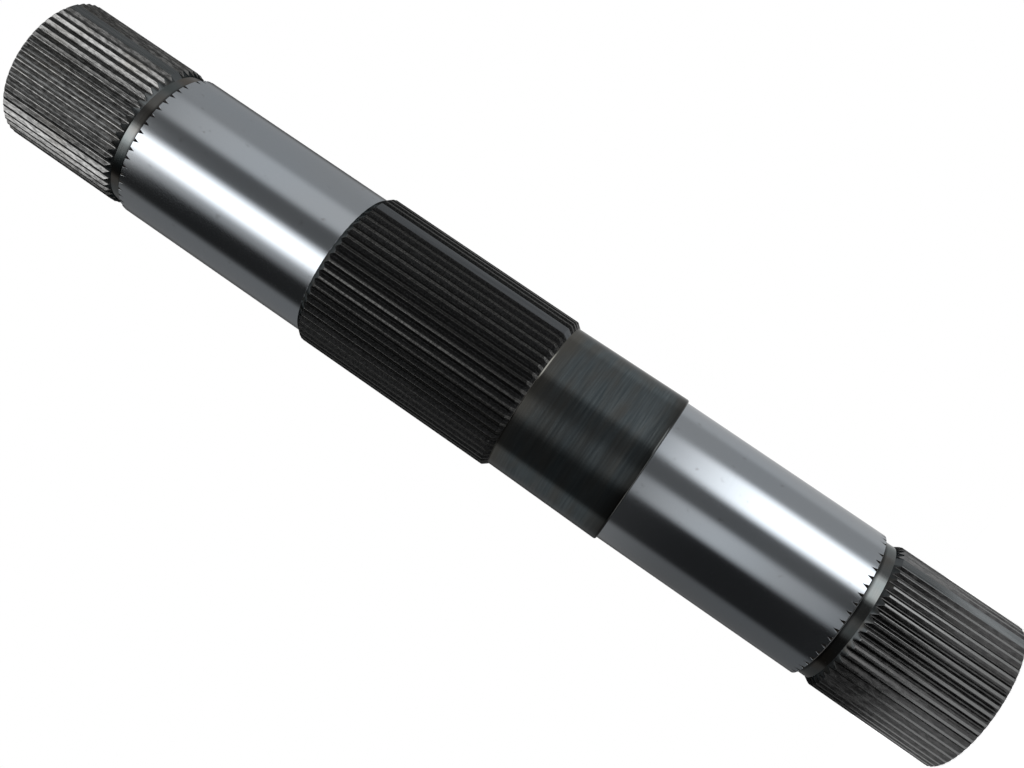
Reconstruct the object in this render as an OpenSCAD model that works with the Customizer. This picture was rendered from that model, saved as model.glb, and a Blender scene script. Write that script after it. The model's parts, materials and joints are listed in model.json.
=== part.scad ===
// Splined drive shaft, turned, hobbed and ground from one bar of steel.
// It stands on end B with its axis along +Z. From end B up it has an end spline, a relief groove,
// a bearing journal, a smooth collar, the hub spline, the second journal, groove and end spline.

/* [Journals] */
// Diameter of both ground journals, which the tips of both end splines stay just under
journal_d = 65; // [60:0.5:75]
// Length of the journal between the groove at end A and the hub spline
journal_a_length = 92; // [60:1:130]
// Length of the journal between the collar and the groove at end B
journal_b_length = 92; // [60:1:130]

/* [End splines] */
// Teeth on each end spline, counting the filled gap as one
end_teeth = 51; // [44:1:56]
// Length of each end spline, up to the foot of its tooth-end cone
end_spline_length = 56.5; // [30:0.5:90]
// Slope of the cone that ends the teeth at the groove, from the axis
end_cone_angle = 32; // [25:1:50]
// Chamfer round the tooth tips at each end face
end_chamfer = 1; // [0.4:0.1:1.2]
// Direction of the one tooth gap that is left filled on the end A spline
end_a_turn = -36.7; // [-90:0.1:90]
// Direction of the one tooth gap that is left filled on the end B spline
end_b_turn = -34.2; // [-90:0.1:90]

/* [Hub spline] */
// Teeth on the hub spline, counting the filled gap as one
hub_teeth = 55; // [48:1:60]
// Length of the hub spline, from the foot of one end cone to the foot of the other
hub_spline_length = 95.5; // [60:0.5:140]
// Rise of the hub spline's reference circle over the journals
hub_spline_rise = 2.5; // [2.2:0.1:4]
// Slope of the cones at both ends of the hub spline, from the axis
hub_cone_angle = 40; // [30:1:50]
// Direction of the one tooth gap that is left filled on the hub spline
hub_turn = -36.5; // [-90:0.1:90]

/* [Collar] */
// Length of the smooth collar
collar_length = 52.5; // [30:0.5:80]
// Rise of the collar over the journals where it meets the hub spline
collar_low_rise = 0.4; // [0.2:0.05:0.6]
// Rise of the collar over the journals at its free edge
collar_high_rise = 1.1; // [1.1:0.05:1.5]
// Radius that rounds the free edge of the collar
collar_edge_r = 0.9; // [0.5:0.1:1]

/* [Relief grooves] */
// Width of each groove's floor, from the tooth-end cone to the journal
groove_width = 5.5; // [4:0.5:9]
// Depth of the groove's floor below the spline roots
groove_clearance = 0.4; // [0.2:0.05:0.7]
// Radius of the corner between the groove's floor and the journal's wall
groove_corner_r = 0.8; // [0.4:0.1:1.2]

/* [Hob run-outs] */
// Length of the pointed notch that the hob leaves in the edge of a journal
runout_length = 2.4; // [1.6:0.1:3.2]
// Width of the notch at the edge of the journal
runout_width = 1.7; // [1:0.1:2]
// Slope at which the hob leaves the steel
runout_angle = 14; // [9:1:18]

/* [Centre holes] */
// Pilot diameter of the centre hole in each end face
centre_pilot_d = 6.3; // [4:0.1:8]
// Mouth diameter of the countersink
centre_mouth_d = 13.2; // [10:0.1:16]
// Depth of the pilot's straight wall below the end face
centre_depth = 14; // [11:0.5:20]

/* [Hidden] */
$fn = 180;

// Involute spline proportions in modules, for a 45 degree pressure angle
pressure_angle = 45;
reference_allowance = 1;
tip_drop = 0.1;
root_drop = 1.1;
flank_steps = 2;

// Angles of the centre drill: a 60 degree countersink and a 118 degree point
countersink_half_angle = 30;
drill_half_angle = 59;

// Steps in a rounded corner, and how far a cutter passes the surface that it leaves
corner_steps = 4;
overrun = 1;
tip_overrun = 0.2;

// Radii, worked out from the journals
journal_r = journal_d / 2;
end_module = spline_module(journal_r, end_teeth);
end_tip_r = journal_r - tip_drop * end_module;
end_root_r = journal_r - root_drop * end_module;
groove_r = end_root_r - groove_clearance;
hub_r = journal_r + hub_spline_rise;
hub_module = spline_module(hub_r, hub_teeth);
hub_tip_r = hub_r - tip_drop * hub_module;
hub_root_r = hub_r - root_drop * hub_module;
collar_low_r = journal_r + collar_low_rise;
collar_high_r = journal_r + collar_high_rise;

// Lengths of the cones along the axis
end_cone = (end_tip_r - groove_r) / tan(end_cone_angle);
hub_cone_b = (hub_tip_r - collar_low_r) / tan(hub_cone_angle);
hub_cone_a = (hub_tip_r - journal_r) / tan(hub_cone_angle);

// Heights of the sections above end B
journal_b_z = end_spline_length + groove_width;
collar_z = journal_b_z + journal_b_length;
hub_z = collar_z + collar_length;
journal_a_z = hub_z + hub_spline_length;
groove_a_z = journal_a_z + journal_a_length;
shaft_length = groove_a_z + groove_width + end_spline_length;

// Module that makes a spline of this many teeth fill its reference circle, just outside the tooth tips
function spline_module(reference_r, teeth) = 2 * reference_r / (teeth + reference_allowance);

// Involute function, in degrees
function involute(angle) = tan(angle) * 180 / PI - angle;

// Half of the angle that a tooth takes up at radius r
function tooth_half_angle(r, teeth, pitch_r) =
    90 / teeth + involute(pressure_angle) - involute(acos(pitch_r * cos(pressure_angle) / r));

// Point on one flank of the gap that is centred on +X, at radius r
function flank_point(r, teeth, pitch_r) =
    let (half_gap = 180 / teeth - tooth_half_angle(r, teeth, pitch_r))
    [r * cos(half_gap), r * sin(half_gap)];

// Points on an arc
function arc(centre, r, from, to) =
    [for (i = [0:corner_steps])
        let (angle = from + (to - from) * i / corner_steps)
        centre + r * [cos(angle), sin(angle)]];

// The points of one end of the turned profile, from the axis out to the groove's journal wall
function end_profile() = let (
        pilot_r = centre_pilot_d / 2,
        mouth_r = centre_mouth_d / 2,
        countersink = (mouth_r - pilot_r) / tan(countersink_half_angle),
        drill_point = pilot_r / tan(drill_half_angle),
        corner = [groove_r + groove_corner_r, journal_b_z - groove_corner_r]
    ) concat(
        [[0, centre_depth + drill_point],
         [pilot_r, centre_depth],
         [pilot_r, countersink],
         [mouth_r, 0],
         [end_tip_r - end_chamfer, 0],
         [end_tip_r, end_chamfer],
         [end_tip_r, end_spline_length - end_cone],
         [groove_r, end_spline_length]],
        arc(corner, groove_corner_r, 180, 90),
        [[journal_r, journal_b_z]]);

// The points of the turned profile between the two journals
function middle_profile() = concat(
    [[journal_r, collar_z]],
    arc([collar_high_r - collar_edge_r, collar_z + collar_edge_r], collar_edge_r, -90, 0),
    [[collar_low_r, hub_z],
     [hub_tip_r, hub_z + hub_cone_b],
     [hub_tip_r, journal_a_z - hub_cone_a],
     [journal_r, journal_a_z]]);

// An end profile as it lies at end A, turned over and run back to the axis
function turned_over(points) =
    [for (i = [len(points) - 1:-1:0]) [points[i][0], shaft_length - points[i][1]]];

// The shaft as it leaves the lathe and the grinder, before any teeth are cut
module turned_blank() {
    rotate_extrude()
        polygon(concat(end_profile(), middle_profile(), turned_over(end_profile())));
}

// Section of one tooth gap, centred on +X and open past the tooth tips
module gap_section(root_r, tip_r, teeth, module_size) {
    pitch_r = module_size * teeth / 2;
    outer_r = tip_r + tip_overrun;
    flank = [for (i = [0:flank_steps])
        flank_point(root_r + (outer_r - root_r) * i / flank_steps, teeth, pitch_r)];
    polygon(concat(flank, [for (i = [flank_steps:-1:0]) [flank[i][0], -flank[i][1]]]));
}

// Tooth gaps of an end spline that starts at z = 0, run out into the groove, with the first gap left filled
module end_gaps() {
    for (i = [1:end_teeth - 1])
        rotate([0, 0, i * 360 / end_teeth])
            translate([0, 0, -overrun])
                linear_extrude(height = overrun + end_spline_length + groove_width / 2)
                    gap_section(end_root_r, end_tip_r, end_teeth, end_module);
}

// Pointed notches in the edge of the journal, one in line with each tooth gap that is cut
module runouts() {
    edge_depth = runout_length * tan(runout_angle);
    start_depth = edge_depth + overrun * tan(runout_angle);
    wing = runout_width / 2 / edge_depth * 2 * start_depth;
    for (i = [1:end_teeth - 1])
        rotate([0, 0, i * 360 / end_teeth])
            translate([journal_r - start_depth, 0, journal_b_z - overrun])
                rotate([0, runout_angle, 0])
                    linear_extrude(height = (runout_length + 2 * overrun) / cos(runout_angle))
                        polygon([[0, 0], [2 * start_depth, -wing], [2 * start_depth, wing]]);
}

// All that the hob takes from one end of the shaft
module end_cuts(turn) {
    rotate([0, 0, turn]) {
        end_gaps();
        runouts();
    }
}

// Tooth gaps of the hub spline, with the first gap left filled
module hub_gaps() {
    for (i = [1:hub_teeth - 1])
        rotate([0, 0, hub_turn + i * 360 / hub_teeth])
            translate([0, 0, hub_z - overrun])
                linear_extrude(height = hub_spline_length + 2 * overrun)
                    gap_section(hub_root_r, hub_tip_r, hub_teeth, hub_module);
}

module shaft() {
    color("slategray")
        difference() {
            turned_blank();
            end_cuts(end_b_turn);
            translate([0, 0, shaft_length])
                mirror([0, 0, 1])
                    end_cuts(end_a_turn);
            hub_gaps();
        }
}

shaft();
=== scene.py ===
import json
import math
from collections import namedtuple

import bpy
import numpy as np
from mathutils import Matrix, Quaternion, Vector


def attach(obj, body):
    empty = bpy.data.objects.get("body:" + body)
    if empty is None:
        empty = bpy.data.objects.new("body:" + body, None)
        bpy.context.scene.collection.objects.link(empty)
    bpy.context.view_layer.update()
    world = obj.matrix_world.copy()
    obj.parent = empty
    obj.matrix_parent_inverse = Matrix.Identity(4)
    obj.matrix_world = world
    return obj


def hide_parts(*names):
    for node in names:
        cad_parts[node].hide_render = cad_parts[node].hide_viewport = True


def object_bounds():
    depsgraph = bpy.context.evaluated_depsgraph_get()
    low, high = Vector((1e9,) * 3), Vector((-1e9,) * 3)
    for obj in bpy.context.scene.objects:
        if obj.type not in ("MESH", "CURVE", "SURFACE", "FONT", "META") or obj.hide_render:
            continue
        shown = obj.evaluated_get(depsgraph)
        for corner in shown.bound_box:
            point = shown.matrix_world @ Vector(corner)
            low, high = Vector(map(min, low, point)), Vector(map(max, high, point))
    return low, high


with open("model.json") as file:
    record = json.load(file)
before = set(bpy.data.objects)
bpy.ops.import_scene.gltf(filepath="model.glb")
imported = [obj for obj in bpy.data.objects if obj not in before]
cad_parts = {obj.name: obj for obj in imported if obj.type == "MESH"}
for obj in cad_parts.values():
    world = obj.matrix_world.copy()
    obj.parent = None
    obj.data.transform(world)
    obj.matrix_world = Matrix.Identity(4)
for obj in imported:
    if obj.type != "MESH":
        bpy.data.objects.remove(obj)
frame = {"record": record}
cad_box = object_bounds()

# Lengths are in millimetres, or in metres where a name ends in _M or _m. Turns are in degrees, and all
# other angles in radians
MM = 0.001

# Sizes of the frame, which the skin follows
MOUNTS = {mount["name"]: mount for mount in frame["record"]["mounts"]}
JOURNAL_R = MOUNTS["journal_b"]["dims"]["r_mm"]
JOURNAL_LENGTH = MOUNTS["journal_b"]["dims"]["length_mm"]
END_TIP_R = MOUNTS["end_spline_b"]["dims"]["r_mm"]
END_SPLINE_LENGTH = MOUNTS["end_spline_b"]["dims"]["length_mm"]
HUB_TIP_R = MOUNTS["hub_spline"]["dims"]["r_mm"]
HUB_LENGTH = MOUNTS["hub_spline"]["dims"]["length_mm"]
SHAFT_LENGTH = (cad_box[1].z - cad_box[0].z) / MM

# Heights of the sections above end B
JOURNAL_B_Z = MOUNTS["journal_b"]["pos_m"][2] / MM - JOURNAL_LENGTH / 2
JOURNAL_A_Z = MOUNTS["journal_a"]["pos_m"][2] / MM - JOURNAL_LENGTH / 2
COLLAR_Z = JOURNAL_B_Z + JOURNAL_LENGTH
HUB_Z = JOURNAL_A_Z - HUB_LENGTH

# Teeth: counts, the turn of each spline's filled gap, and the cones at the tooth ends. On the hub's cones
# a column belongs to the end of a tooth where it is higher than FACET_SHARE of the tooth
END_TEETH = 51
END_A_TURN = -36.7
END_B_TURN = -34.2
END_CONE = math.radians(32)
END_CHAMFER = 1
HUB_TEETH = 55
HUB_TURN = -36.5
HUB_CONE = math.radians(40)
FACET_SHARE = 0.6
TOOTH_MODULE = 1.25
TOOTH_DEPTH = 1.25
PRESSURE_ANGLE = math.radians(45)

# Grooves, collar and centre holes. Painted shade darkens a groove's floor over GROOVE_SHADE towards its
# corner. The collar is tinted brown at its hub end and painted nearly black with shade at its free edge,
# each as far as COLLAR_TINT reaches
GROOVE_CLEARANCE = 0.4
GROOVE_CORNER_R = 0.8
GROOVE_SHADE = 1.2
COLLAR_LOW_RISE = 0.4
COLLAR_HIGH_RISE = 1.1
COLLAR_EDGE_R = 0.9
COLLAR_TINT = 8
CENTRE_PILOT_R = 3.15
CENTRE_MOUTH_R = 6.6
CENTRE_DEPTH = 14
COUNTERSINK = math.radians(30)
DRILL_POINT = math.radians(59)

# Small roundings that catch the light. One more column or ring just past a rounding keeps the long faces
# beside it as flat in the light as they are
END_TIP_ROUNDING = 0.15
HUB_TIP_ROUNDING = 0.08
ROOT_ROUNDING = 0.16
FLANK_MARGIN = 0.08
EDGE_ROUNDING = 0.12
FOOT_FILLET = 0.25
ROUND_STEPS = (0, 1 / 3, 2 / 3, 1)
CORNER_STEPS = 5
SHARP_ANGLE = math.radians(30)
ROUND_TOLERANCE_M = 1e-6

# Pointed notches that the hob leaves in the edge of each journal
NOTCH_LENGTH = 2.4
NOTCH_HALF_WIDTH = 0.85
NOTCH_SLOPE = math.radians(14)
NOTCH_STEPS = (EDGE_ROUNDING, 0.5, 0.9, 1.3, 1.7, 2.05, NOTCH_LENGTH)
NOTCH_TIP_HALF_WIDTH = 0.08
NOTCH_END_GAP = 0.5

# Mesh columns round the end faces, and the radius where they meet the tooth columns
FACE_COLUMNS = 102
FACE_RING_R = 24

# What the row of each mesh point holds
ROW_FIELDS = ("x", "y", "z", "tooth", "plain")

# Zones of the skin, in the order of its material slots
ZONES = ("end_face", "end_spline", "tooth_end", "groove", "wall", "journal", "collar", "hub")

# Colours of the finishes, in linear red, green and blue
GROUND_DARK = (0.368, 0.402, 0.438)
GROUND_LIGHT = (0.398, 0.432, 0.468)
GROUND_CLOUD = (0.395, 0.415, 0.435)
STAIN_GREY = (0.2, 0.2, 0.2)
# Painted shade in the notches at the journals' edges
NOTCH_SHADE = (0.012, 0.011, 0.01)
GROOVE_DARK = (0.11, 0.116, 0.116)
GROOVE_LIGHT = (0.15, 0.155, 0.153)
GROOVE_TEAL = (0.08, 0.115, 0.12)
GROOVE_BROWN = (0.13, 0.1, 0.073)
# Painted shade in a groove's corner at the wall
GROOVE_CORNER_SHADE = (0.02, 0.021, 0.022)
# The walls' near-black holds oil and painted shade
WALL_DARK = (0.016, 0.016, 0.016)
WALL_LIGHT = (0.034, 0.032, 0.029)
HOBBED_DARK = (0.09, 0.09, 0.089)
HOBBED_LIGHT = (0.26, 0.26, 0.256)
HOBBED_BROWN = (0.12, 0.112, 0.098)
# Painted shade in the gaps of the spline at end B
END_B_GAP_SHADE = (0.028, 0.028, 0.029)
TIP_DARK = (0.03, 0.031, 0.031)
TIP_LIGHT = (0.075, 0.077, 0.077)
# A painted highlight on the tooth tips at end B
END_B_TIP_HIGHLIGHT = (0.17, 0.172, 0.172)
END_LAND_DARK = (0.1, 0.11, 0.114)
END_LAND_LIGHT = (0.15, 0.16, 0.165)
# The cones' dark steel holds painted shade
CONE_DARK = (0.042, 0.046, 0.048)
CONE_LIGHT = (0.064, 0.07, 0.072)
CONE_BROWN = (0.05, 0.044, 0.036)
CONE_PLAIN = (0.12, 0.13, 0.135)
HUB_DARK = (0.03, 0.03, 0.0297)
HUB_LIGHT = (0.074, 0.074, 0.072)
# Darker colours of the hub's gaps between the teeth
HUB_GAP_DARK = (0.011, 0.0113, 0.0115)
HUB_GAP_LIGHT = (0.028, 0.0285, 0.029)
HUB_RUBBED = (0.12, 0.12, 0.115)
SPECK_GREY = (0.25, 0.25, 0.24)
HUB_LAND_DARK = (0.095, 0.102, 0.11)
HUB_LAND_LIGHT = (0.125, 0.134, 0.143)
BRUSHED_DARK = (0.074, 0.09, 0.098)
BRUSHED_LIGHT = (0.13, 0.152, 0.16)
BRUSHED_CLOUD = (0.105, 0.1, 0.09)
COLLAR_BROWN = (0.12, 0.108, 0.09)
# Painted shade at the collar's free edge
COLLAR_EDGE_SHADE = (0.03, 0.028, 0.025)
FACED_DARK = (0.33, 0.335, 0.34)
FACED_LIGHT = (0.42, 0.425, 0.43)
FACED_BROWN = (0.28, 0.27, 0.25)

# Grain of the finishes, in cells to the metre along X, Y and Z. Most of a noise's values lie in NOISE_RANGE
GRINDING = (30, 30, 5200)
JOURNAL_CLOUDS = (22, 22, 12)
STAINS = (420, 420, 300)
GROOVE_TURNING = (40, 40, 3000)
OIL_TINTS = (60, 60, 40)
OILY_PATCHES = (200, 200, 150)
FLECKS = (1300, 1300, 380)
STREAKS = (500, 500, 25)
BROWN_PATCHES = (70, 70, 50)
CONE_TURNING = (60, 60, 2500)
HUB_GRAIN = (1500, 1500, 1600)
SPECKS = (900, 900, 700)
BRUSHING = (60, 60, 1800)
COLLAR_CLOUDS = (50, 50, 200)
FACE_PATCHES = (60, 60, 60)
FACE_GRAIN = (900, 900, 900)
NOISE_RANGE = (0.3, 0.7)

# Values of tooth between which a finish changes, and how strongly shade and highlight are painted on the
# spline at end B
NOTCH_BLEND = (0.85, 0.98)
END_TIP_BLEND = (0.9, 0.98)
HUB_TIP_BLEND = (0.9, 0.97)
HUB_EDGE_START = (0.92, 0.97)
HUB_EDGE_END = (1.0, 0.99)
END_B_PAINTED_LIGHT = 0.82

# Sockets of a mix node that belong to colours
MIX_FACTOR = 0
MIX_FIRST = 6
MIX_SECOND = 7
MIX_RESULT = 2

# Share of a full turn that draws a highlight out across the marks that run round the axis
QUARTER_TURN = 0.25

# Camera: it stands level with the collar and is rolled, so that end A lies at the upper left
CAMERA_LENS = 43.03
CAMERA_PLACE_M = (-0.00105, -0.4957, 0.1594)
CAMERA_PITCH = math.radians(6.645)
CAMERA_ROLL = math.radians(-55.6)

# Light tent: a round soft wall with an even glow, and panels that are laid over each other on it. Turns
# go round the shaft from the camera's side, positive towards -X. The sides of a panel fade over its soft
# degrees, and its top and bottom over its soft metres
TENT_RADIUS_M = 1.2
TENT_FOOT_M = -1.0
TENT_HIGH_M = 1.8
TENT_STEP = 2
TENT_ROWS = 57
TENT_GLOW = 0.14
FULL_HEIGHT_M = (-2, 3)
MIDDLE_M = (0.13, 0.5)
Panel = namedtuple("Panel", "turns heights_m soft soft_m brightness")
PANELS = {
    "right_wall": Panel((-150, -30), FULL_HEIGHT_M, 20, 0.1, 0.48),
    "left_wall": Panel((94, 150), FULL_HEIGHT_M, 14, 0.1, 0.26),
    "left_foot": Panel((94, 150), (-2, 0.2), 14, 0.2, 0.17),
    "camera_side": Panel((-31, 6), FULL_HEIGHT_M, 16, 0.1, 0.16),
    "black_flag": Panel((33, 94), FULL_HEIGHT_M, 14, 0.1, 0.025),
    "right_back": Panel((-180, -112), (-2, 0.6), 14, 0.2, 0.68),
    "middle_flag": Panel((33, 94), MIDDLE_M, 14, 0.16, 0.07),
    "middle_left": Panel((94, 150), MIDDLE_M, 14, 0.16, 0.36),
    "left_window": Panel((4, 31.5), (-2, 0.13), 14, 0.16, 0.6),
    "middle_window": Panel((4, 37), MIDDLE_M, 24, 0.16, 0.26),
    "left_window_top": Panel((4, 31.5), (-0.05, 0.11), 14, 0.06, 0.9),
    "right_window": Panel((-72, -35), (0.5, 0.98), 14, 0.12, 0.8),
    "low_strip_top": Panel((-69, -30), (-0.05, 0.11), 16, 0.06, 1.35),
    "low_strip": Panel((-69, -30), (-2, 0.045), 16, 0.05, 3),
    "strip_fade": Panel((30, 50), (0.5, 3), 20, 0.3, 0.6),
    "high_strip": Panel((4, 33), (0.5, 3), 18, 0.4, 3.2),
    "top_shade": Panel((-85, 0), (1.03, 3), 16, 0.08, 0.22),
    "top_middle": Panel((-16, 4), (1.05, 3), 14, 0.06, 0.9),
    "top_left": Panel((26, 60), (1.05, 3), 34, 0.06, 2.8),
    "foot_shade": Panel((-25, 95), (-2, -0.2), 14, 0.05, 0.04),
}
OVERHEAD_BRIGHTNESS = 1.0
WORLD_LEVEL = 0.6

# Floor, which lies just under end B
FLOOR_RADIUS_M = 0.14
FLOOR_SIDES = 128
FLOOR_Z_M = -0.0002
FLOOR_COLOUR = (0.85, 0.85, 0.85, 1)
FLOOR_GLOW = 0.7


class Columns:
    """The lines of mesh points that run along the shaft, in order round it.

    radius follows the teeth that the columns pass, tooth is 0 on a gap's floor and 1 on a tooth's
    tip, offset is the angle from the middle of the nearest gap, and plain is 1 on the filled gap."""

    def __init__(self, angle, radius, tooth, offset):
        self.angle = np.asarray(angle)
        self.radius = np.asarray(radius)
        self.tooth = np.asarray(tooth)
        self.offset = np.asarray(offset)
        self.plain = np.zeros(len(self.angle))


def involute(angle):
    return math.tan(angle) - angle


def half_gap(r, teeth):
    """Half of the angle that a tooth gap takes up at radius r."""
    base_r = TOOTH_MODULE * teeth / 2 * math.cos(PRESSURE_ANGLE)
    widening = involute(PRESSURE_ANGLE) - involute(math.acos(base_r / r))
    return math.pi / 2 / teeth - widening


def rounded(before, corner, after, cut):
    """Points on a curve that rounds a corner, from cut short of it to cut past it."""
    start = corner + (before - corner).normalized() * cut
    end = corner + (after - corner).normalized() * cut
    return [start * (1 - t) ** 2 + corner * 2 * t * (1 - t) + end * t ** 2 for t in ROUND_STEPS]


def half_profile(teeth, tip_r, tip_rounding):
    """Angle and radius of the points from the middle of a gap to the middle of a tooth."""
    root_r = tip_r - TOOTH_DEPTH
    middle_r = tip_r - TOOTH_DEPTH / 2
    gap_middle = Vector((0, root_r))
    root_corner = Vector((half_gap(root_r, teeth) * middle_r, root_r))
    tip_corner = Vector((half_gap(tip_r, teeth) * middle_r, tip_r))
    tooth_middle = Vector((math.pi / teeth * middle_r, tip_r))
    up_flank = (tip_corner - root_corner).normalized()
    points = [gap_middle]
    points += rounded(gap_middle, root_corner, tip_corner, ROOT_ROUNDING)
    points += [root_corner + up_flank * (ROOT_ROUNDING + FLANK_MARGIN)]
    points += [tip_corner - up_flank * (tip_rounding + FLANK_MARGIN)]
    points += rounded(root_corner, tip_corner, tooth_middle, tip_rounding)
    points += [tooth_middle]
    return [(x / middle_r, r) for x, r in points]


def fill_gap(columns, teeth, tip_r, turn):
    """Fills the gap at a turn, so that two teeth become one wide tooth."""
    away = np.abs((columns.angle - math.radians(turn) + math.pi) % (2 * math.pi) - math.pi)
    gap = away < math.pi / teeth
    columns.radius[gap] = tip_r
    columns.tooth[gap] = 1
    land_edge = 2 * math.pi / teeth - half_gap(tip_r, teeth)
    columns.plain[away < land_edge] = 1


def spline_columns(teeth, tip_r, turn, tip_rounding):
    """Columns round one spline, with its filled gap at a turn."""
    pitch = 2 * math.pi / teeth
    half = half_profile(teeth, tip_r, tip_rounding)
    away = [(-angle, r) for angle, r in half[-2:0:-1]]
    angles = []
    radii = []
    offsets = []
    for i in range(teeth):
        for part, start in ((half, i), (away, i + 1)):
            angles += [math.radians(turn) + start * pitch + offset for offset, _ in part]
            radii += [r for _, r in part]
            offsets += [offset for offset, _ in part]
    tooth = [(r - tip_r + TOOTH_DEPTH) / TOOTH_DEPTH for r in radii]
    columns = Columns(angles, radii, tooth, offsets)
    fill_gap(columns, teeth, tip_r, turn)
    return columns


def even_columns(count):
    """Columns at even angles, for faces that have no teeth."""
    angle = np.arange(count) * 2 * math.pi / count
    return Columns(angle, np.zeros(count), np.ones(count), np.zeros(count))


def ring(columns, radius, height, angle=None, tooth=None):
    """A closed ring of mesh points, with a row for each."""
    angle = columns.angle if angle is None else angle
    tooth = columns.tooth if tooth is None else tooth
    x = radius * np.cos(angle)
    y = radius * np.sin(angle)
    z = np.broadcast_to(height, angle.shape)
    tooth = np.broadcast_to(tooth, angle.shape)
    return np.column_stack((x, y, z, tooth, columns.plain))


def pole(height):
    """A single point on the axis, which closes the skin."""
    return np.array([[0, 0, height, 1, 0]], dtype=float)


def arc(centre_r, centre_z, r, start, end):
    """Radius and height of points on a rounded corner of the turned profile, from one turn to another."""
    angles = [math.radians(start + (end - start) * i / CORNER_STEPS) for i in range(CORNER_STEPS + 1)]
    return [(centre_r + r * math.cos(angle), centre_z + r * math.sin(angle)) for angle in angles]


def centre_hole(columns):
    """Bands of the centre hole and the inner end face, from the axis outwards."""
    countersink = (CENTRE_MOUTH_R - CENTRE_PILOT_R) / math.tan(COUNTERSINK)
    point = CENTRE_PILOT_R / math.tan(DRILL_POINT)
    return [
        (None, pole(CENTRE_DEPTH + point)),
        ("end_face", ring(columns, CENTRE_PILOT_R, CENTRE_DEPTH)),
        ("end_face", ring(columns, CENTRE_PILOT_R, countersink)),
        ("end_face", ring(columns, CENTRE_MOUTH_R, 0)),
        ("end_face", ring(columns, FACE_RING_R, 0)),
    ]


def end_teeth(columns):
    """Bands of an end spline, from its end face to the foot of its tooth-end cone."""
    groove_r = END_TIP_R - TOOTH_DEPTH - GROOVE_CLEARANCE
    face_r = END_TIP_R - END_CHAMFER
    chamfer_z = np.maximum(columns.radius - face_r, EDGE_ROUNDING)
    cone_z = END_SPLINE_LENGTH - (columns.radius - groove_r) / math.tan(END_CONE)
    past_edge_r = columns.radius - EDGE_ROUNDING * math.tan(END_CONE)
    return [
        ("end_face", ring(columns, np.minimum(columns.radius, face_r), 0)),
        ("end_spline", ring(columns, columns.radius, chamfer_z)),
        ("end_spline", ring(columns, columns.radius, 2 * END_CHAMFER)),
        ("end_spline", ring(columns, columns.radius, cone_z - 2 * EDGE_ROUNDING)),
        ("end_spline", ring(columns, columns.radius, cone_z - EDGE_ROUNDING)),
        ("end_spline", ring(columns, past_edge_r, cone_z + EDGE_ROUNDING)),
        ("tooth_end", ring(columns, groove_r, END_SPLINE_LENGTH, tooth=1)),
    ]


def groove(columns):
    """Bands of a relief groove's floor, where tooth is 1, and of its corner at the wall, where it is 0 and
    the finish paints shade.
    """
    groove_r = END_TIP_R - TOOTH_DEPTH - GROOVE_CLEARANCE
    corner_r = groove_r + GROOVE_CORNER_R
    corner_z = JOURNAL_B_Z - GROOVE_CORNER_R
    floor = ("groove", ring(columns, groove_r, corner_z - GROOVE_SHADE, tooth=1))
    corner = [(groove_r, corner_z - EDGE_ROUNDING)]
    corner += arc(corner_r, corner_z, GROOVE_CORNER_R, 180, 90)
    return [floor] + [("groove", ring(columns, r, z, tooth=0)) for r, z in corner]


def notch_ring(columns, along, top_r, height):
    """A ring that crosses the notches at the distance along from the journal's edge.

    The columns inside a notch are drawn together, so that they follow its two sides to the point. The
    filled gap has no notch in line with it."""
    flank_column = len(ROUND_STEPS) + 1
    flank = columns.offset[flank_column]
    half_pitch = math.pi / END_TEETH
    share = max(1 - along / NOTCH_LENGTH, 0)
    half_width = max(NOTCH_HALF_WIDTH * share, NOTCH_TIP_HALF_WIDTH) / JOURNAL_R
    away = np.abs(columns.offset)
    inside = away / flank
    outside = (away - flank) / (half_pitch - flank)
    squeezed = np.where(inside < 1, inside * half_width, half_width + outside * (half_pitch - half_width))
    angle = columns.angle + np.sign(columns.offset) * (squeezed - away)
    deepness = np.clip(1 - inside, 0, 1) * (1 - columns.plain)
    notch_r = JOURNAL_R - NOTCH_LENGTH * share * math.tan(NOTCH_SLOPE) * deepness
    tooth = 1 - deepness if share else 1
    return ring(columns, np.minimum(notch_r, top_r), height, angle, tooth)


def journal(columns):
    """Bands of a journal, from the groove's wall with its notches to the far edge."""
    bands = [("wall", notch_ring(columns, 0, JOURNAL_R - EDGE_ROUNDING, JOURNAL_B_Z))]
    for along in NOTCH_STEPS:
        zone = "wall" if along == EDGE_ROUNDING else "journal"
        bands.append((zone, notch_ring(columns, along, JOURNAL_R, JOURNAL_B_Z + along)))
    notch_end = JOURNAL_B_Z + NOTCH_LENGTH + NOTCH_END_GAP
    bands.append(("journal", ring(columns, JOURNAL_R, notch_end, tooth=1)))
    bands.append(("journal", ring(columns, JOURNAL_R, COLLAR_Z, tooth=1)))
    return bands


def end_bands(turn):
    """All bands of one end of the shaft, as it lies at end B, from the axis to the collar's height."""
    columns = spline_columns(END_TEETH, END_TIP_R, turn, END_TIP_ROUNDING)
    bands = centre_hole(even_columns(FACE_COLUMNS))
    return bands + end_teeth(columns) + groove(columns) + journal(columns)


def turned_over(bands):
    """The same bands at end A, in order from the journal to the axis."""
    rings = [points * (1, 1, -1, 1, 1) + (0, 0, SHAFT_LENGTH, 0, 0) for _, points in reversed(bands)]
    zones = ["journal"] + [zone for zone, _ in reversed(bands[1:])]
    return list(zip(zones, rings))


def facets(columns):
    """1 on the columns that pass the end of a tooth on the hub's cones, and 0 between them."""
    return np.where(columns.tooth > FACET_SHARE, 1, 0)


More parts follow.
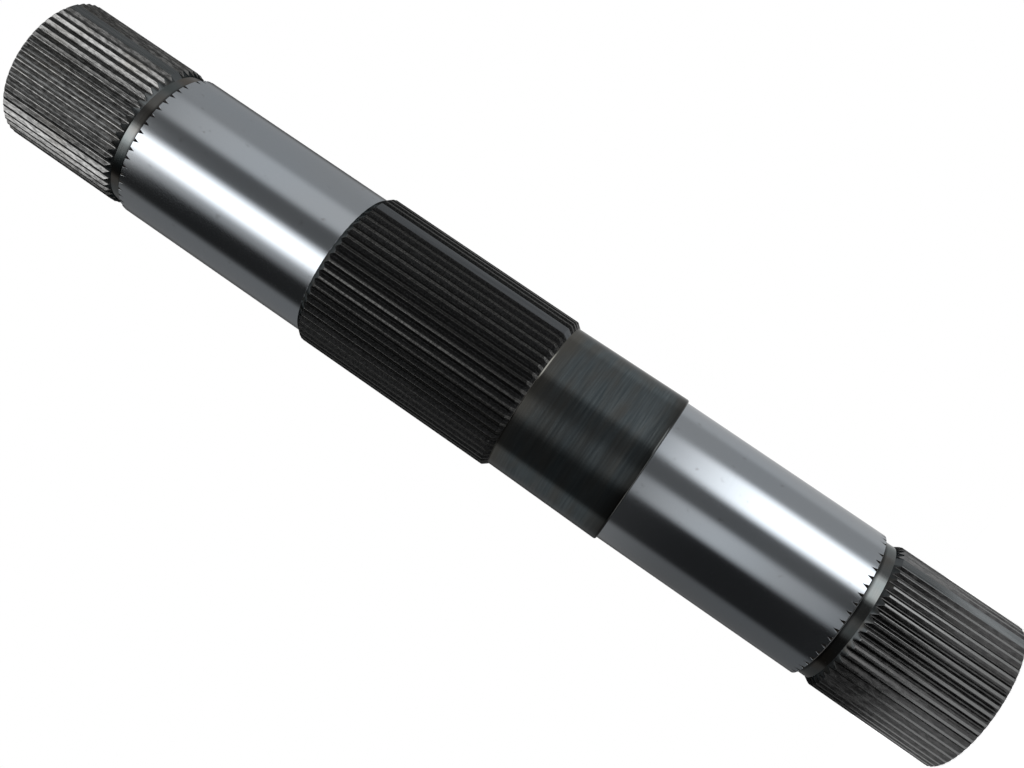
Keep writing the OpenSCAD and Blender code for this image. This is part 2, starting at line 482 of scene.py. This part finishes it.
def collar(columns):
    """Bands of the collar, from its free edge to the foot of the hub spline."""
    high_r = JOURNAL_R + COLLAR_HIGH_RISE
    edge = arc(high_r - COLLAR_EDGE_R, COLLAR_Z + COLLAR_EDGE_R, COLLAR_EDGE_R, -90, 0)
    edge += [(high_r, COLLAR_Z + COLLAR_EDGE_R + EDGE_ROUNDING)]
    low_r = JOURNAL_R + COLLAR_LOW_RISE
    fillet_r = low_r + FOOT_FILLET * math.sin(HUB_CONE)
    fillet_z = HUB_Z + FOOT_FILLET * math.cos(HUB_CONE)
    foot = [(low_r, HUB_Z - 2 * FOOT_FILLET), (low_r, HUB_Z - FOOT_FILLET), (fillet_r, fillet_z)]
    return [("collar", ring(columns, r, z, tooth=facets(columns))) for r, z in edge + foot]


def hub(columns):
    """Bands of the hub spline, from one end cone to just short of the other's foot."""
    slope = math.tan(HUB_CONE)
    facet = facets(columns)
    rise_b = columns.radius - JOURNAL_R - COLLAR_LOW_RISE
    rise_a = columns.radius - JOURNAL_R
    cone_b_z = HUB_Z + rise_b / slope
    cone_a_z = JOURNAL_A_Z - rise_a / slope
    past_edge_r = columns.radius - EDGE_ROUNDING * slope
    foot_r = JOURNAL_R + EDGE_ROUNDING * slope
    return [
        ("hub", ring(columns, past_edge_r, cone_b_z - EDGE_ROUNDING, tooth=facet)),
        ("hub", ring(columns, columns.radius, cone_b_z + EDGE_ROUNDING)),
        ("hub", ring(columns, columns.radius, cone_b_z + 2 * EDGE_ROUNDING)),
        ("hub", ring(columns, columns.radius, cone_a_z - 2 * EDGE_ROUNDING)),
        ("hub", ring(columns, columns.radius, cone_a_z - EDGE_ROUNDING)),
        ("hub", ring(columns, past_edge_r, cone_a_z + EDGE_ROUNDING, tooth=facet)),
        ("tooth_end", ring(columns, foot_r, JOURNAL_A_Z - EDGE_ROUNDING, tooth=facet)),
    ]


def shaft_bands():
    """Every band of the skin, in order from the axis at end B to the axis at end A."""
    columns = spline_columns(HUB_TEETH, HUB_TIP_R, HUB_TURN, HUB_TIP_ROUNDING)
    middle = collar(columns) + hub(columns)
    return end_bands(END_B_TURN) + middle + turned_over(end_bands(END_A_TURN))


def quads(lower, upper):
    """Faces between two rings of as many points, given by their indices."""
    ahead_lower = np.roll(lower, -1)
    ahead_upper = np.roll(upper, -1)
    return np.column_stack((lower, ahead_lower, ahead_upper, upper)).tolist()


def by_angle(points, indices):
    """Indices of a ring in order of angle, and the angles, with the first repeated a turn later."""
    angle = np.arctan2(points[:, 1], points[:, 0])
    order = np.argsort(angle)
    angles = np.append(angle[order], angle[order[0]] + 2 * math.pi)
    return np.append(indices[order], indices[order[0]]).tolist(), angles


def zipped(lower_points, lower, upper_points, upper):
    """Triangles between two rings that have different numbers of points."""
    low, low_angle = by_angle(lower_points, lower)
    high, high_angle = by_angle(upper_points, upper)
    faces = []
    i = 0
    j = 0
    while i < len(lower) or j < len(upper):
        take_low = j == len(upper) or (i < len(lower) and low_angle[i + 1] <= high_angle[j + 1])
        if take_low:
            faces.append([low[i], low[i + 1], high[j]])
            i += 1
        else:
            faces.append([low[i], high[j + 1], high[j]])
            j += 1
    return faces


def fan(centre, around, upwards):
    """Triangles between a ring and a point on the axis."""
    ahead = np.roll(around, -1)
    pairs = (around, ahead) if upwards else (ahead, around)
    return [[centre, a, b] for a, b in zip(*[side.tolist() for side in pairs])]


def band_faces(lower_points, lower, upper_points, upper):
    """Faces of the band between two rings, or between a ring and a point on the axis."""
    if len(lower) == 1:
        return fan(int(lower[0]), upper, False)
    if len(upper) == 1:
        return fan(int(upper[0]), lower, True)
    if len(lower) == len(upper):
        return quads(lower, upper)
    return zipped(lower_points, lower, upper_points, upper)


def read_all(items, field, width=1, kind=np.float32):
    """One field of all items of a mesh, with a row for each item."""
    values = np.empty(len(items) * width, kind)
    items.foreach_get(field, values)
    return values.reshape(-1, width) if width > 1 else values


def round_journals(mesh):
    """Shades the faces of the journals as round, right up to the edges of the notches."""
    across = read_all(mesh.vertices, "co", 3) * (1, 1, 0)
    radius = np.linalg.norm(across, axis=1)
    corner_vertex = read_all(mesh.loops, "vertex_index", kind=np.int32)
    first_corner = read_all(mesh.polygons, "loop_start", kind=np.int32)
    corners = read_all(mesh.polygons, "loop_total", kind=np.int32)
    on_journal = np.abs(radius - JOURNAL_R * MM) < ROUND_TOLERANCE_M
    round_face = np.logical_and.reduceat(on_journal[corner_vertex], first_corner)
    round_corner = np.repeat(round_face, corners)
    chosen = corner_vertex[round_corner]
    normals = read_all(mesh.corner_normals, "vector", 3)
    normals[round_corner] = across[chosen] / radius[chosen, None]
    mesh.normals_split_custom_set(normals.tolist())


def mesh_of(name, bands):
    """A closed mesh through the bands' rings, with a material index for each zone."""
    faces = []
    zones = []
    first = 0
    last = None
    for zone, points in bands:
        indices = np.arange(first, first + len(points))
        first += len(points)
        if last is not None:
            made = band_faces(*last, points, indices)
            faces += made
            zones += [ZONES.index(zone)] * len(made)
        last = (points, indices)
    rows = np.vstack([points for _, points in bands])
    mesh = bpy.data.meshes.new(name)
    mesh.from_pydata((rows[:, :3] * MM).tolist(), [], faces)
    mesh.polygons.foreach_set("material_index", zones)
    for attribute in ("tooth", "plain"):
        values = rows[:, ROW_FIELDS.index(attribute)].astype(np.float32)
        mesh.attributes.new(attribute, "FLOAT", "POINT").data.foreach_set("value", values)
    mesh.shade_smooth()
    mesh.set_sharp_from_angle(angle=SHARP_ANGLE)
    mesh.validate()
    round_journals(mesh)
    return mesh


class Finish:
    """A metal surface and its node tree, with short calls for the nodes that the finishes share."""

    def __init__(self, name, rim, anisotropy=0.0):
        """rim is how strongly the surface shines where it is seen at a flat angle."""
        self.material = bpy.data.materials.new(name)
        self.material.use_nodes = True
        self.tree = self.material.node_tree
        self.shader = self.tree.nodes["Principled BSDF"]
        self.shader.inputs["Metallic"].default_value = 1.0
        self.shader.inputs["Specular Tint"].default_value = (rim, rim, rim, 1)
        self.place = self.tree.nodes.new("ShaderNodeTexCoord").outputs["Object"]
        if anisotropy:
            self.shader.inputs["Anisotropic"].default_value = anisotropy
            self.shader.inputs["Anisotropic Rotation"].default_value = QUARTER_TURN
            tangent = self.tree.nodes.new("ShaderNodeTangent")
            tangent.direction_type = "RADIAL"
            tangent.axis = "Z"
            self.tree.links.new(tangent.outputs[0], self.shader.inputs["Tangent"])

    def set(self, socket, value):
        """Links a node's output to one of the shader's sockets."""
        self.tree.links.new(value, self.shader.inputs[socket])

    def noise(self, grain, detail=2.0, offset=0.0):
        """Noise with its own grain along X, Y and Z. Another offset gives another pattern."""
        mapping = self.tree.nodes.new("ShaderNodeMapping")
        mapping.inputs["Scale"].default_value = grain
        mapping.inputs["Location"].default_value = (offset, offset, offset)
        texture = self.tree.nodes.new("ShaderNodeTexNoise")
        texture.inputs["Scale"].default_value = 1.0
        texture.inputs["Detail"].default_value = detail
        self.tree.links.new(self.place, mapping.inputs["Vector"])
        self.tree.links.new(mapping.outputs[0], texture.inputs["Vector"])
        return texture.outputs[0]

    def band(self, value, start, end, low=0.0, high=1.0):
        """A value's range from start to end, turned into the range from low to high."""
        node = self.tree.nodes.new("ShaderNodeMapRange")
        self.tree.links.new(value, node.inputs["Value"])
        for socket, number in (("From Min", start), ("From Max", end), ("To Min", low), ("To Max", high)):
            node.inputs[socket].default_value = number
        return node.outputs[0]

    def mix(self, factor, first, second):
        """Two colours, each a node's output or a plain colour, mixed by a node's output."""
        node = self.tree.nodes.new("ShaderNodeMix")
        node.data_type = "RGBA"
        self.tree.links.new(factor, node.inputs[MIX_FACTOR])
        self.join(first, node.inputs[MIX_FIRST])
        self.join(second, node.inputs[MIX_SECOND])
        return node.outputs[MIX_RESULT]

    def join(self, colour, socket):
        """Gives a socket a node's output, or else a plain colour."""
        if isinstance(colour, bpy.types.NodeSocket):
            self.tree.links.new(colour, socket)
        else:
            socket.default_value = (*colour, 1.0)

    def product(self, first, second):
        """Two nodes' outputs, multiplied."""
        node = self.tree.nodes.new("ShaderNodeMath")
        node.operation = "MULTIPLY"
        self.tree.links.new(first, node.inputs[0])
        self.tree.links.new(second, node.inputs[1])
        return node.outputs[0]

    def attribute(self, name):
        """A value that the mesh has at each of its points."""
        node = self.tree.nodes.new("ShaderNodeAttribute")
        node.attribute_name = name
        return node.outputs["Fac"]

    def along(self):
        """How far a point lies from end B, in metres."""
        node = self.tree.nodes.new("ShaderNodeSeparateXYZ")
        self.tree.links.new(self.place, node.inputs[0])
        return node.outputs["Z"]

    def roughness(self, noise, low, high):
        """Lets the roughness follow a noise, from low to high."""
        self.set("Roughness", self.band(noise, *NOISE_RANGE, low, high))

    def bump(self, height, strength, depth_m):
        """Roughens the surface by a height that varies by a depth."""
        node = self.tree.nodes.new("ShaderNodeBump")
        node.inputs["Strength"].default_value = strength
        node.inputs["Distance"].default_value = depth_m
        self.tree.links.new(height, node.inputs["Height"])
        self.set("Normal", node.outputs[0])


def journal_finish():
    """Bright steel, ground round the axis, with a few stains, and painted shade that makes the notches at
    its edge dark.
    """
    finish = Finish("ground_steel", rim=0.85, anisotropy=0.1)
    grinding = finish.noise(GRINDING)
    cloud = finish.noise(JOURNAL_CLOUDS)
    stain = finish.band(finish.noise(STAINS, offset=3.1), 0.68, 0.78, 0, 0.3)
    # Painted shade, which turns the notches black
    notch = finish.band(finish.attribute("tooth"), *NOTCH_BLEND, 1, 0)
    steel = finish.mix(grinding, GROUND_DARK, GROUND_LIGHT)
    clouded = finish.mix(finish.band(cloud, 0.35, 0.7), steel, GROUND_CLOUD)
    stained = finish.mix(stain, clouded, STAIN_GREY)
    finish.set("Base Color", finish.mix(notch, stained, NOTCH_SHADE))
    finish.roughness(cloud, 0.13, 0.17)
    finish.bump(grinding, strength=0.05, depth_m=0.00001)
    return finish.material


def groove_finish():
    """Turned steel with brown and teal tints of old oil, and painted shade that turns it black in the corner
    at the wall.
    """
    finish = Finish("groove_steel", rim=0.8)
    turning = finish.noise(GROOVE_TURNING)
    tint = finish.noise(OIL_TINTS, offset=1.7)
    # Painted shade, which turns the corner at the wall black
    corner = finish.band(finish.attribute("tooth"), 0, 1, 0.85, 0)
    steel = finish.mix(turning, GROOVE_DARK, GROOVE_LIGHT)
    teal = finish.mix(finish.band(tint, 0.5, 0.65, 0, 0.5), steel, GROOVE_TEAL)
    browned = finish.mix(finish.band(tint, 0.5, 0.36, 0, 0.5), teal, GROOVE_BROWN)
    finish.set("Base Color", finish.mix(corner, browned, GROOVE_CORNER_SHADE))
    finish.roughness(turning, 0.1, 0.15)
    finish.bump(turning, strength=0.1, depth_m=0.00002)
    return finish.material


def wall_finish():
    """Near-black steel on the walls between the grooves and the journals, darkened by oil and by painted
    shade.
    """
    finish = Finish("shaded_oily_wall_steel", rim=0.1)
    patch = finish.noise(OILY_PATCHES, offset=2.6)
    finish.set("Base Color", finish.mix(patch, WALL_DARK, WALL_LIGHT))
    finish.roughness(patch, 0.34, 0.44)
    return finish.material


def end_spline_finish():
    """Bare hobbed steel with flecks.

    The tooth tips are dark at end A. Towards end B they carry a painted highlight, and the gaps carry
    painted shade."""
    finish = Finish("hobbed_spline_steel", rim=0.6)
    fleck = finish.noise(FLECKS, detail=3)
    streak = finish.noise(STREAKS, detail=3, offset=9.2)
    patch = finish.noise(BROWN_PATCHES, detail=3, offset=5.3)
    grain = finish.band(fleck, 0.36, 0.64)
    # Painted shade in the gaps and a painted highlight on the tips, which grow from the collar towards end B
    at_end_b = finish.band(finish.along(), COLLAR_Z * MM, JOURNAL_B_Z * MM, 0, END_B_PAINTED_LIGHT)
    at_tip = finish.band(finish.attribute("tooth"), *END_TIP_BLEND, 0, 0.9)
    steel = finish.mix(grain, HOBBED_DARK, HOBBED_LIGHT)
    patched = finish.mix(finish.band(patch, 0.5, 0.7, 0, 0.35), steel, HOBBED_BROWN)
    oiled_and_shaded = finish.mix(at_end_b, patched, END_B_GAP_SHADE)
    tip = finish.mix(at_end_b, finish.mix(grain, TIP_DARK, TIP_LIGHT), END_B_TIP_HIGHLIGHT)
    tipped = finish.mix(at_tip, oiled_and_shaded, tip)
    land = finish.mix(finish.band(streak, 0.35, 0.65), END_LAND_DARK, END_LAND_LIGHT)
    finish.set("Base Color", finish.mix(finish.attribute("plain"), tipped, land))
    finish.roughness(fleck, 0.2, 0.32)
    finish.bump(fleck, strength=0.15, depth_m=0.00003)
    return finish.material


def tooth_end_finish():
    """Steel on the cones that end the teeth, painted dark as shade, with brown patches of oil."""
    finish = Finish("tooth_end_steel", rim=0.15)
    turning = finish.noise(CONE_TURNING, offset=3.7)
    patch = finish.noise(OILY_PATCHES, offset=0.9)
    steel = finish.mix(finish.band(turning, *NOISE_RANGE), CONE_DARK, CONE_LIGHT)
    oiled_and_shaded = finish.mix(finish.band(patch, 0.5, 0.7, 0, 0.5), steel, CONE_BROWN)
    finish.set("Base Color", finish.mix(finish.attribute("plain"), oiled_and_shaded, CONE_PLAIN))
    finish.roughness(turning, 0.28, 0.4)
    finish.bump(turning, strength=0.1, depth_m=0.00002)
    return finish.material


def hub_finish():
    """Blackened steel with rubbed tooth edges, and a smooth grey land on the filled gap."""
    finish = Finish("blackened_spline_steel", rim=0.75)
    noise = finish.noise(HUB_GRAIN, detail=3, offset=2.2)
    streak = finish.noise(STREAKS, detail=3, offset=6.4)
    speck = finish.band(finish.noise(SPECKS, detail=1, offset=7.7), 0.78, 0.83, 0, 0.6)
    tooth = finish.attribute("tooth")
    grain = finish.band(noise, 0.38, 0.62)
    edge = finish.product(finish.band(tooth, *HUB_EDGE_START, 0, 0.3), finish.band(tooth, *HUB_EDGE_END))
    black = finish.mix(grain, HUB_DARK, HUB_LIGHT)
    # The gaps between the teeth are darker than the tips
    gap_black = finish.mix(grain, HUB_GAP_DARK, HUB_GAP_LIGHT)
    gaps_darkened = finish.mix(finish.band(tooth, *HUB_TIP_BLEND, 1, 0), black, gap_black)
    rubbed = finish.mix(edge, gaps_darkened, HUB_RUBBED)
    specked = finish.mix(speck, rubbed, SPECK_GREY)
    land = finish.mix(finish.band(streak, 0.35, 0.65), HUB_LAND_DARK, HUB_LAND_LIGHT)
    finish.set("Base Color", finish.mix(finish.attribute("plain"), specked, land))
    finish.set("Roughness", finish.band(tooth, *HUB_TIP_BLEND, 0.6, 0.26))
    finish.bump(noise, strength=0.15, depth_m=0.00003)
    return finish.material


def collar_finish():
    """Dark blue-grey steel, brushed round the axis, brown near the hub, and painted nearly black with shade
    at its free edge.
    """
    finish = Finish("dark_brushed_steel", rim=0.6)
    brushing = finish.noise(BRUSHING, detail=4, offset=4.4)
    cloud = finish.noise(COLLAR_CLOUDS, detail=3, offset=8.1)
    along = finish.along()
    near_hub = finish.band(along, (HUB_Z - COLLAR_TINT) * MM, HUB_Z * MM, 0, 0.6)
    # Painted shade, which turns the collar nearly black at its free edge
    painted_edge_shade = finish.band(along, (COLLAR_Z + COLLAR_TINT) * MM, COLLAR_Z * MM, 0, 0.8)
    steel = finish.mix(finish.band(brushing, *NOISE_RANGE), BRUSHED_DARK, BRUSHED_LIGHT)
    clouded = finish.mix(finish.band(cloud, 0.4, 0.7, 0, 0.6), steel, BRUSHED_CLOUD)
    browned = finish.mix(near_hub, clouded, COLLAR_BROWN)
    finish.set("Base Color", finish.mix(painted_edge_shade, browned, COLLAR_EDGE_SHADE))
    finish.roughness(brushing, 0.11, 0.16)
    finish.bump(brushing, strength=0.05, depth_m=0.00003)
    return finish.material


def end_face_finish():
    """Faced steel with a fine grain and a few brown patches."""
    finish = Finish("faced_steel", rim=0.9, anisotropy=0.4)
    patch = finish.noise(FACE_PATCHES, detail=3, offset=6.6)
    fine = finish.noise(FACE_GRAIN, offset=1.1)
    steel = finish.mix(fine, FACED_DARK, FACED_LIGHT)
    finish.set("Base Color", finish.mix(finish.band(patch, 0.45, 0.7, 0, 0.5), steel, FACED_BROWN))
    finish.roughness(fine, 0.3, 0.42)
    finish.bump(fine, strength=0.1, depth_m=0.00002)
    return finish.material


def make_shaft():
    """The shaft's skin, which stands for the one solid of the frame."""
    skin = bpy.data.objects.new("splined_shaft", mesh_of("splined_shaft", shaft_bands()))
    bpy.context.scene.collection.objects.link(skin)
    finishes = {
        "end_face": end_face_finish,
        "end_spline": end_spline_finish,
        "tooth_end": tooth_end_finish,
        "groove": groove_finish,
        "wall": wall_finish,
        "journal": journal_finish,
        "collar": collar_finish,
        "hub": hub_finish,
    }
    for zone in ZONES:
        skin.data.materials.append(finishes[zone]())
    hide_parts("shaft")
    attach(skin, "root")


def glow_material(name):
    """A soft glow, as bright as the mesh says at each of its points."""
    material = bpy.data.materials.new(name)
    material.use_nodes = True
    nodes = material.node_tree.nodes
    nodes.remove(nodes["Principled BSDF"])
    glow = nodes.new("ShaderNodeEmission")
    brightness = nodes.new("ShaderNodeAttribute")
    brightness.attribute_name = "brightness"
    material.node_tree.links.new(brightness.outputs["Fac"], glow.inputs["Strength"])
    material.node_tree.links.new(glow.outputs[0], nodes["Material Output"].inputs["Surface"])
    return material


def make_light(name, points, faces, brightness):
    """A soft panel that lights the shaft and stays out of the picture."""
    mesh = bpy.data.meshes.new(name)
    mesh.from_pydata(points, [], faces)
    mesh.materials.append(glow_material(name))
    mesh.attributes.new("brightness", "FLOAT", "POINT").data.foreach_set("value", brightness)
    panel = bpy.data.objects.new(name, mesh)
    bpy.context.scene.collection.objects.link(panel)
    panel.visible_camera = False


def soft_step(value, edge, soft):
    """0 below an edge and 1 above it, with a smooth rise that is soft wide."""
    share = np.clip((value - edge) / soft + 0.5, 0, 1)
    return share * share * (3 - 2 * share)


def covered(value, span, soft):
    """How far a panel covers a place, from 0 to 1, given its span in one direction."""
    return soft_step(value, span[0], soft) * soft_step(-value, -span[1], soft)


def tent_brightness(turn, height):
    """Brightness of the tent's wall where its panels lie over each other."""
    level = np.full(turn.shape, TENT_GLOW)
    for panel in PANELS.values():
        share = covered(turn, panel.turns, panel.soft) * covered(height, panel.heights_m, panel.soft_m)
        level += share * (panel.brightness - level)
    return level


def tent_points(turn, height):
    """Points on the tent's wall at turns and heights."""
    around = np.radians(turn)
    return np.column_stack((-TENT_RADIUS_M * np.sin(around), -TENT_RADIUS_M * np.cos(around), height))


def make_tent_wall():
    """The tent's wall, which stands all round the shaft."""
    turns = np.arange(-180, 180, TENT_STEP)
    heights = np.linspace(TENT_FOOT_M, TENT_HIGH_M, TENT_ROWS)
    height, turn = [grid.ravel() for grid in np.meshgrid(heights, turns, indexing="ij")]
    rows = np.arange(len(turn)).reshape(TENT_ROWS, len(turns))
    faces = [face for low, high in zip(rows[:-1], rows[1:]) for face in quads(low, high)]
    make_light("tent_wall", tent_points(turn, height).tolist(), faces, tent_brightness(turn, height))


def make_overhead():
    """The round panel over the tent."""
    turn = np.arange(0, 360, TENT_STEP)
    points = tent_points(turn, np.full(turn.shape, TENT_HIGH_M)).tolist()
    make_light("overhead", points, [tuple(range(len(points)))], [OVERHEAD_BRIGHTNESS] * len(points))


def seen_factor(tree):
    """1 for the rays that make a thing seen: from the camera, off metal and through glass."""
    path = tree.nodes.new("ShaderNodeLightPath")
    seen = path.outputs["Is Camera Ray"]
    for ray in ("Is Glossy Ray", "Is Transmission Ray"):
        node = tree.nodes.new("ShaderNodeMath")
        node.operation = "MAXIMUM"
        tree.links.new(seen, node.inputs[0])
        tree.links.new(path.outputs[ray], node.inputs[1])
        seen = node.outputs[0]
    return seen


def scaled(tree, value, low, high):
    """A factor from 0 to 1, turned into the range from low to high."""
    node = tree.nodes.new("ShaderNodeMapRange")
    node.inputs["To Min"].default_value = low
    node.inputs["To Max"].default_value = high
    tree.links.new(value, node.inputs["Value"])
    return node.outputs[0]


def make_world():
    """A white background, with a plain level for the light that it gives."""
    world = bpy.data.worlds.new("studio")
    world.use_nodes = True
    background = world.node_tree.nodes["Background"]
    background.inputs["Color"].default_value = (1, 1, 1, 1)
    strength = scaled(world.node_tree, seen_factor(world.node_tree), WORLD_LEVEL, 1)
    world.node_tree.links.new(strength, background.inputs["Strength"])
    bpy.context.scene.world = world


def floor_material():
    """A pale matt surface with a glow that brings it near to white."""
    material = bpy.data.materials.new("pale_floor")
    material.use_nodes = True
    tree = material.node_tree
    shader = tree.nodes["Principled BSDF"]
    shader.inputs["Base Color"].default_value = FLOOR_COLOUR
    shader.inputs["Roughness"].default_value = 1.0
    shader.inputs["Specular IOR Level"].default_value = 0.0
    shader.inputs["Emission Color"].default_value = (1, 1, 1, 1)
    tree.links.new(scaled(tree, seen_factor(tree), 0, FLOOR_GLOW), shader.inputs["Emission Strength"])
    return material


def make_floor():
    """A round pale floor that keeps the shaft's soft shadow."""
    angles = [2 * math.pi * i / FLOOR_SIDES for i in range(FLOOR_SIDES)]
    points = [(FLOOR_RADIUS_M * math.cos(a), FLOOR_RADIUS_M * math.sin(a), FLOOR_Z_M) for a in angles]
    mesh = bpy.data.meshes.new("floor")
    mesh.from_pydata(points, [], [tuple(range(FLOOR_SIDES))])
    mesh.materials.append(floor_material())
    floor = bpy.data.objects.new("floor", mesh)
    bpy.context.scene.collection.objects.link(floor)


def make_camera():
    """The camera, which looks along +Y and a little upwards before it is rolled."""
    data = bpy.data.cameras.new("camera")
    data.lens = CAMERA_LENS
    camera = bpy.data.objects.new("camera", data)
    bpy.context.scene.collection.objects.link(camera)
    forward = Vector((0, math.cos(CAMERA_PITCH), math.sin(CAMERA_PITCH)))
    camera.location = CAMERA_PLACE_M
    camera.rotation_mode = "QUATERNION"
    roll = Quaternion((0, 0, 1), CAMERA_ROLL)
    camera.rotation_quaternion = forward.to_track_quat("-Z", "Y") @ roll
    bpy.context.scene.camera = camera


make_camera()
make_shaft()
make_world()
make_floor()
make_tent_wall()
make_overhead()
bpy.context.scene.view_settings.view_transform = "Standard"
